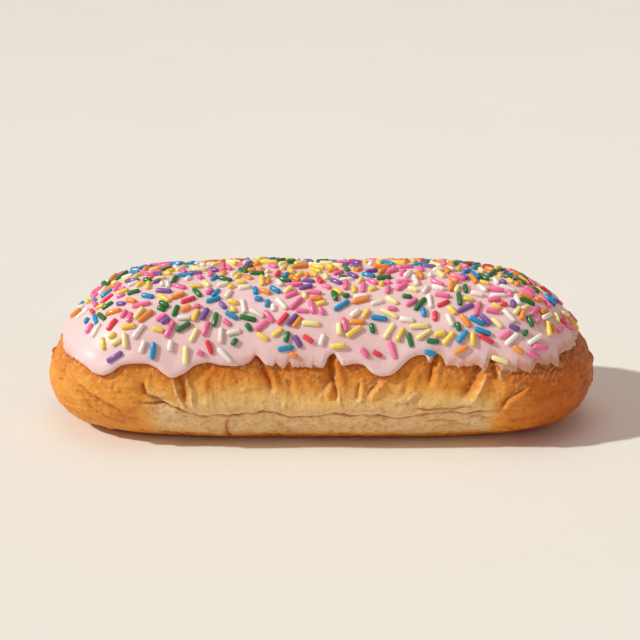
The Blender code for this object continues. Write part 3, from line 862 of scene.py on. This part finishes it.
# %% The icing's surface, for laying things on it
def on_icing(station, climb, over):
    """A point over the icing, and the directions round, up and outward there."""
    station = np.array([station])
    climb = np.array([climb])
    inside = climb - icing_edge(station)
    if inside[0] < NEAR_EDGE:
        inside = from_edge(station, climb)
    lift = icing_height(station, climb, inside) + over
    normal = outward(station, climb)[0]
    ahead = smooth_form(station + 0.1 * MM, climb)[0] - smooth_form(station - 0.1 * MM, climb)[0]
    point = smooth_form(station, climb)[0] + normal * lift[0]
    return Vector(point), Vector(ahead), Vector(normal)


# %% Where they lie thick and where thin
SPRINKLE_TRIES = 95000
SPRINKLES = 780
LEAN_AFTER = 380          # once this many are laid, every third try is for one that leans on another
COVER = ((33.5, 0.0), (34.5, 0.05), (37.0, 0.04), (40.0, 0.08), (42.5, 0.17), (44.5, 0.65), (46.0, 1.0),
         (56.0, 1.0), (60.0, 0.85), (67.0, 0.8))
LEFT_COVER = 9.5 * MM     # at the left tip the cover begins this much further up
RIGHT_COVER = 7.5 * MM    # and at the right tip
BARE_RIM = 2.6 * MM       # none lies nearer to the icing's edge


def cover(station, climb):
    """The chance that a sprinkle tried here is kept, from the edge up to the crown."""
    at, chance = zip(*COVER)
    middle = np.array([station])
    ahead = smooth_form(middle + 0.1 * MM, np.array([climb]))[0]
    behind = smooth_form(middle - 0.1 * MM, np.array([climb]))[0]
    width_left = np.linalg.norm(ahead - behind) / (0.2 * MM)
    inside = climb - icing_edge(middle)[0]
    place = front_station(station)
    later = (LEFT_COVER if place < 0 else RIGHT_COVER) * ease((abs(place) - 55 * MM) / (25 * MM))
    patch = 0.95 + 1.4 * cloudy([ahead], 8 * MM, 2, seed=14)[0]
    return float(np.interp((climb - later) / MM, at, chance) * width_left * patch * (inside > BARE_RIM))


def axis_gap(first, second):
    """The distance between two rods' axes, each given as its two ends."""
    nearest = geometry.intersect_line_line(*first, *second)
    gaps = []
    if nearest:
        on_first = geometry.intersect_point_line(nearest[0], *first)[1]
        on_second = geometry.intersect_point_line(nearest[1], *second)[1]
        if 0 <= on_first <= 1 and 0 <= on_second <= 1:
            gaps.append((nearest[0] - nearest[1]).length)
    for point, line in ((first[0], second), (first[1], second), (second[0], first), (second[1], first)):
        foot, along = geometry.intersect_point_line(point, *line)
        foot = line[0].lerp(line[1], min(max(along, 0.0), 1.0))
        gaps.append((point - foot).length)
    return min(gaps)


# %% Two ways for one to lie
FLAT_LENGTHS = (4.1, 0.85, 2.1, 5.3)        # mean, spread, shortest and longest, in mm
LEANING_LENGTHS = (4.2, 0.5, 3.2, 5.2)


def line_length(rng, mean, spread, shortest, longest):
    """The length of the line that a random sprinkle is laid along."""
    return min(max(rng.gauss(mean, spread), shortest), longest) * MM - 2 * CAP


def lie_down(rng):
    """A rod lying on the icing at a random place and turn."""
    station = rng.uniform(-HALF_ROUND, HALF_ROUND)
    climb = rng.uniform(COVER[0][0] * MM, CROWN_CLIMB)
    if rng.random() > cover(station, climb):
        return None
    point, ahead, normal = on_icing(station, climb, ROD_RADIUS * rng.uniform(0.15, 0.60))
    way = Quaternion(normal, rng.uniform(0, math.tau)) @ ahead.normalized()
    half = 0.5 * line_length(rng, *FLAT_LENGTHS)
    return point - way * half, point + way * half, normal


def lean_across(rng, rods):
    """A rod that rests across another: its middle over it, and one end down on the icing."""
    first, second, normal = rng.choice(rods)
    over = first.lerp(second, rng.uniform(0.2, 0.8)) + normal * ROD_RADIUS * 1.75
    turn = rng.uniform(0.7, 2.4)
    way = Quaternion(normal, turn) @ (second - first).normalized()
    down = (way - normal * rng.uniform(0.40, 0.55)).normalized()
    length = line_length(rng, *LEANING_LENGTHS)
    return over - down * length * 0.30, over + down * length * 0.70, normal


# %% Lay them
LEAN_ABOVE = 37 * MM      # height of the places where some lean
TALLEST = cad_box[1].z + 0.4 * MM
CELL = 6 * MM             # the rods are kept by cells of this size, to find the near ones fast
LEAST_GAP = 1.82          # between two rods' lines, in rod radii
LEAST_LEANING_GAP = 1.7
rng = random.Random(23)
rods = []
buckets = {}
for attempt in range(SPRINKLE_TRIES):
    if len(rods) >= SPRINKLES:
        break
    leans = len(rods) > LEAN_AFTER and attempt % 3 == 0
    tried = lean_across(rng, rods) if leans else lie_down(rng)
    if tried is None:
        continue
    cell = tuple(math.floor(value / CELL) for value in (tried[0] + tried[1]) / 2)
    near = [rods[i] for dx in (-1, 0, 1) for dy in (-1, 0, 1) for dz in (-1, 0, 1)
            for i in buckets.get((cell[0] + dx, cell[1] + dy, cell[2] + dz), ())]
    least = LEAST_LEANING_GAP if leans else LEAST_GAP
    if max(tried[0].z, tried[1].z) + ROD_RADIUS > TALLEST or leans and tried[0].z < LEAN_ABOVE:
        continue
    if all(axis_gap(tried[:2], other[:2]) > least * ROD_RADIUS for other in near):
        buckets.setdefault(cell, []).append(len(rods))
        rods.append(tried)
print("sprinkles laid:", len(rods), "after", attempt, "tries")

# %% Join each colour's sprinkles into one mesh
COLOURS = (("yellow", 0.14), ("cream_yellow", 0.095), ("pink", 0.18), ("green", 0.12), ("orange", 0.12),
           ("white", 0.125), ("blue", 0.10), ("purple", 0.08), ("red", 0.04))


def join_rods(name, laid, rng):
    """One mesh of many rods: the modelled rod's points, stretched, turned and moved for each."""
    points = []
    faces = []
    tints = []
    for first, second, _ in laid:
        way = second - first
        turn = way.to_track_quat("Z", "Y") @ Quaternion((0, 0, 1), rng.uniform(0, math.tau))
        grow = Vector((0, 0, 0.5 * way.length + CAP - 0.5 * ROD_DEPTH))
        thick = rng.uniform(0.93, 1.06)
        start = len(points)
        for x, y, z in rod_points:
            shaped = Vector((x * thick, y * thick, z)) + grow * (1 if z > 0 else -1)
            points.append((first + second) / 2 + turn @ shaped)
        faces += [tuple(start + index for index in face) for face in rod_faces]
        tints += [rng.random()] * len(rod_points)
    data = bpy.data.meshes.new(name)
    data.from_pydata(points, [], faces)
    piece = bpy.data.objects.new(name, data)
    bpy.context.collection.objects.link(piece)
    store(piece, "tint", np.array(tints))
    finish_piece(piece, "root")
    return piece


rng.shuffle(rods)
sprinkles = {}
taken = 0
for name, portion in COLOURS:
    count = round(portion * len(rods))
    sprinkles[name] = join_rods("sprinkles_" + name, rods[taken:taken + count], rng)
    taken += count
bpy.data.objects.remove(rod)

# %% [markdown]
# ## Materials
#
# The looks of a crust come from how far each part was browned, so its colour runs along a ramp that reads
# the stored browning, with clouds of noise laid over it. Painted shade under the icing's lip rides along in
# that browning, and the marks paint shade into the grooves and hollows and a highlight on the crease's lip.
# Icing lets a little light in, so it gets some subsurface scattering. Sprinkles are glossy and opaque.

# %% Helpers for node trees
def new_material(name):
    """A material with its Principled shader, and a function that adds and links nodes."""
    material = bpy.data.materials.new(name)
    material.use_nodes = True
    tree = material.node_tree
    shader = tree.nodes["Principled BSDF"]

    def node(kind, inputs=(), **settings):
        made = tree.nodes.new(kind)
        for key, value in settings.items():
            setattr(made, key, value)
        for socket, value in dict(inputs).items():
            if isinstance(value, bpy.types.NodeSocket):
                tree.links.new(value, made.inputs[socket])
            else:
                made.inputs[socket].default_value = value
        return made

    return material, shader, node, tree.links.new


def ramp(node, value, stops):
    """A colour ramp from (place, linear colour) stops."""
    made = node("ShaderNodeValToRGB", {0: value})
    stops_now = made.color_ramp.elements
    while len(stops_now) < len(stops):
        stops_now.new(0.5)
    for stop, (at, colour) in zip(stops_now, stops):
        stop.position = at
        stop.color = (*colour, 1)
    return made.outputs["Color"]


def mix(node, factor, first, second, blend="MIX"):
    """A colour mix of two colours or sockets."""
    made = node("ShaderNodeMix", data_type="RGBA", blend_type=blend)
    tree = made.id_data
    for socket, value in ((0, factor), (6, first), (7, second)):
        if isinstance(value, bpy.types.NodeSocket):
            tree.links.new(value, made.inputs[socket])
        else:
            made.inputs[socket].default_value = value if socket == 0 else (*value, 1)
    return made.outputs[2]


def noise_on(node, where, scale, detail, roughness=0.55):
    """Noise on a coordinate, as a number."""
    return node("ShaderNodeTexNoise", {"Vector": where, "Scale": scale, "Detail": detail,
                                       "Roughness": roughness}).outputs["Fac"]


def math_node(node, kind, first, second):
    """One sum of two numbers or sockets."""
    return node("ShaderNodeMath", {0: first, 1: second}, operation=kind).outputs[0]


def about_zero(node, value, strength):
    """A noise moved to lie about 0, times a strength."""
    return math_node(node, "MULTIPLY", math_node(node, "SUBTRACT", value, 0.5), strength)


def uneven_gloss(node, link, shader, value, lowest, highest):
    """A roughness that wanders between two values."""
    spread = node("ShaderNodeMapRange", {"Value": value, "To Min": lowest, "To Max": highest})
    link(spread.outputs[0], shader.inputs["Roughness"])


def fine_bump(node, link, shader, height, strength, distance):
    """Relief that is too fine to model."""
    bump = node("ShaderNodeBump", {"Strength": strength, "Distance": distance, "Height": height})
    link(bump.outputs["Normal"], shader.inputs["Normal"])


# %% The crust's material
BAKE_RAMP = ((0.0, (0.84, 0.55, 0.25)), (0.20, (0.85, 0.50, 0.15)), (0.45, (0.85, 0.36, 0.054)),
             (0.70, (0.60, 0.148, 0.007)), (1.0, (0.30, 0.06, 0.006)))
BAND_BLOTCHES = ((0.35, (0.70, 0.42, 0.17)), (0.5, (0.82, 0.56, 0.29)), (0.68, (0.87, 0.68, 0.42)))
FLECKS = ((0.32, (0.76, 0.62, 0.47)), (0.46, (1, 1, 1)), (0.70, (1.10, 1.08, 1.04)))
# What each stored mark does to the colour, one after another: its strength and the colour it mixes in. The
# cut colour is painted shade in the grooves, the hollow colour painted shade with a deeper brown of the
# crust's own on the folds' hollow sides, and the stretched colour pale strands plus a painted highlight on
# the crease's lip.
MARKS = (("hollow_brown_and_shade", 0.55, (0.66, 0.20, 0.02)), ("stretched_and_lip_highlight", 1.0, (0.90, 0.64, 0.35)),
         ("groove_shade", 0.80, (0.44, 0.115, 0.010)), ("pitted", 0.35, (0.42, 0.27, 0.12)),
         ("sugared", 0.40, (0.92, 0.60, 0.30)))


def stored(node, name):
    """A number that was stored with the points."""
    return node("ShaderNodeAttribute", attribute_name=name).outputs["Fac"]


def crust_material():
    """Baked dough: browning (with painted lip shade) on a ramp, then the marks, partly painted light, then
    fine flecks.
    """
    material, shader, node, link = new_material("baked_crust")
    where = node("ShaderNodeTexCoord").outputs["Object"]
    clouds = about_zero(node, noise_on(node, where, 160, 5), 0.35)
    freckles = about_zero(node, noise_on(node, where, 620, 4, 0.65), 0.30)
    # The stored browning carries the painted shade under the icing's lip.
    bake_and_lip_shade = math_node(node, "ADD", stored(node, "bake_and_lip_shade"), math_node(node, "ADD", clouds, freckles))
    blotches = ramp(node, noise_on(node, where, 260, 4), BAND_BLOTCHES)
    band = math_node(node, "MULTIPLY", stored(node, "band"), 0.6)
    colour = mix(node, band, ramp(node, bake_and_lip_shade, BAKE_RAMP), blotches)
    for name, strength, own in MARKS:
        colour = mix(node, math_node(node, "MULTIPLY", stored(node, name), strength), colour, own)
    flecks = ramp(node, noise_on(node, where, 900, 3), FLECKS)
    link(mix(node, 0.7, colour, flecks, "MULTIPLY"), shader.inputs["Base Color"])
    uneven_gloss(node, link, shader, noise_on(node, where, 420, 3), 0.42, 0.66)
    shader.inputs["Specular IOR Level"].default_value = 0.26
    shader.inputs["Subsurface Weight"].default_value = 0.06
    shader.inputs["Subsurface Radius"].default_value = (1.0, 0.45, 0.2)
    shader.inputs["Subsurface Scale"].default_value = 0.0015
    coarse = math_node(node, "MULTIPLY", noise_on(node, where, 380, 3), 1.4)
    skin = math_node(node, "ADD", noise_on(node, where, 1100, 4, 0.65), coarse)
    fine_bump(node, link, shader, skin, 0.45, 0.6 * MM)
    return material


crust.data.materials.append(crust_material())
print("the crust wears", crust.data.materials[0].name)

# %% The icing's material
PALER_PINK = (0.90, 0.62, 0.62)
DEEPER_PINK = (0.87, 0.58, 0.58)
CRUST_SHOWING = (0.66, 0.29, 0.14)          # where the edge is so thin that the crust shows through


def icing_material():
    """Fondant: a little light goes in, the gloss is soft, and the thin edge shows the crust."""
    material, shader, node, link = new_material("pink_fondant")
    where = node("ShaderNodeTexCoord").outputs["Object"]
    pink = mix(node, noise_on(node, where, 45, 3), DEEPER_PINK, PALER_PINK)
    worn = math_node(node, "MULTIPLY", noise_on(node, where, 420, 3), 0.5)
    thin = math_node(node, "ADD", stored(node, "thin"), worn)
    through = ramp(node, thin, ((0.45, (0, 0, 0)), (1.05, (1, 1, 1))))
    colour = mix(node, math_node(node, "MULTIPLY", through, 0.8), pink, CRUST_SHOWING)
    link(colour, shader.inputs["Base Color"])
    uneven_gloss(node, link, shader, noise_on(node, where, 90, 3), 0.44, 0.54)
    shader.inputs["Coat Weight"].default_value = 0.28
    shader.inputs["Coat Roughness"].default_value = 0.36
    shader.inputs["Subsurface Weight"].default_value = 0.5
    shader.inputs["Subsurface Radius"].default_value = (1.0, 0.45, 0.4)
    shader.inputs["Subsurface Scale"].default_value = 0.0030
    fine_bump(node, link, shader, noise_on(node, where, 260, 3), 0.15, 0.4 * MM)
    return material


icing_coat.data.materials.append(icing_material())
print("the icing wears", icing_coat.data.materials[0].name)

# %% The sprinkles' materials
SUGAR = {"yellow": (1.0, 0.645, 0.095), "cream_yellow": (1.0, 0.80, 0.34), "pink": (0.92, 0.17, 0.38),
         "green": (0.012, 0.165, 0.03), "orange": (0.94, 0.29, 0.035), "white": (0.95, 0.82, 0.74),
         "blue": (0.004, 0.27, 0.55), "purple": (0.20, 0.09, 0.36), "red": (0.80, 0.04, 0.08)}


def sugar_material(name, colour):
    """Pressed sugar: glossy, opaque, and each sprinkle a shade of its own."""
    material, shader, node, link = new_material("sugar_" + name)
    where = node("ShaderNodeTexCoord").outputs["Object"]
    lighter = tuple(min(1.0, channel * 1.12 + 0.02) for channel in colour)
    darker = tuple(channel * 0.84 for channel in colour)
    shade = math_node(node, "ADD", stored(node, "tint"), noise_on(node, where, 700, 3))
    link(mix(node, math_node(node, "MULTIPLY", shade, 0.6), darker, lighter), shader.inputs["Base Color"])
    uneven_gloss(node, link, shader, noise_on(node, where, 900, 2), 0.14, 0.30)
    fine_bump(node, link, shader, noise_on(node, where, 1500, 3), 0.12, 0.2 * MM)
    return material


for name, piece in sprinkles.items():
    piece.data.materials.append(sugar_material(name, SUGAR[name]))
print("sprinkle colours:", ", ".join(sprinkles))

# %% [markdown]
# ## The studio
#
# The bun is shown on a plain pale floor, lit by one low sun from the left and slightly in front, a wide soft
# light overhead and an even warm sky that fills the shadows. A surrounding picture could light it too, but
# would need a file, and these few lights are easy to steer.

# %% Floor
deselect_all()
bpy.ops.mesh.primitive_plane_add(size=6, location=(0, 0, 0))
floor = bpy.context.active_object
floor.name = "floor"


def floor_material():
    """A matt pale surface with a hint of cloud."""
    material, shader, node, link = new_material("pale_floor")
    where = node("ShaderNodeTexCoord").outputs["Object"]
    pale = mix(node, noise_on(node, where, 14, 4), (0.88, 0.845, 0.785), (0.85, 0.815, 0.755))
    link(pale, shader.inputs["Base Color"])
    shader.inputs["Roughness"].default_value = 0.85
    shader.inputs["Specular IOR Level"].default_value = 0.2
    return material


floor.data.materials.append(floor_material())
print("the floor is", floor.dimensions.x, "m wide")

# %% Sky and lights
SUN_FROM = Vector((-1.2, -0.32, 1.0))

world = bpy.data.worlds.new("soft_sky")
world.use_nodes = True
bpy.context.scene.world = world
sky = world.node_tree.nodes["Background"]
sky.inputs["Color"].default_value = (1.0, 0.80, 0.73, 1)
sky.inputs["Strength"].default_value = 0.38

overhead = bpy.data.lights.new("overhead", "AREA")
overhead.size = 1.0
overhead.energy = 2.3
overhead_object = bpy.data.objects.new("overhead", overhead)
overhead_object.location = (0, 0, 1.3)
bpy.context.collection.objects.link(overhead_object)

sun = bpy.data.lights.new("sun", "SUN")
sun.energy = 2.72
sun.color = (0.925, 1.0, 0.965)
sun.angle = math.radians(2.5)
sun_object = bpy.data.objects.new("sun", sun)
sun_object.rotation_euler = SUN_FROM.to_track_quat("Z", "Y").to_euler()
bpy.context.collection.objects.link(sun_object)
print("lights:", overhead.name, overhead.energy, "W,", sun.name, sun.energy, "W per square metre")

# %% Camera
CAMERA_RISE = math.radians(20)
CAMERA_AWAY = 0.446       # its distance from the place it looks at
CAMERA_UP = 0.00716       # how far that place is moved up, which sets the bun's height in the frame

lens = bpy.data.cameras.new("camera")
lens.lens = 85
lens.sensor_width = 36
camera = bpy.data.objects.new("camera", lens)
bpy.context.collection.objects.link(camera)
back = Vector((0, -math.cos(CAMERA_RISE), math.sin(CAMERA_RISE)))
upward = Vector((0, math.sin(CAMERA_RISE), math.cos(CAMERA_RISE)))
aim = Vector((-0.0005, 0, 0.022)) + upward * CAMERA_UP
camera.location = aim + back * CAMERA_AWAY
camera.rotation_euler = back.to_track_quat("Z", "Y").to_euler()
bpy.context.scene.camera = camera
bpy.context.scene.view_settings.view_transform = "Standard"
print("the camera stands at", tuple(round(value, 3) for value in camera.location))
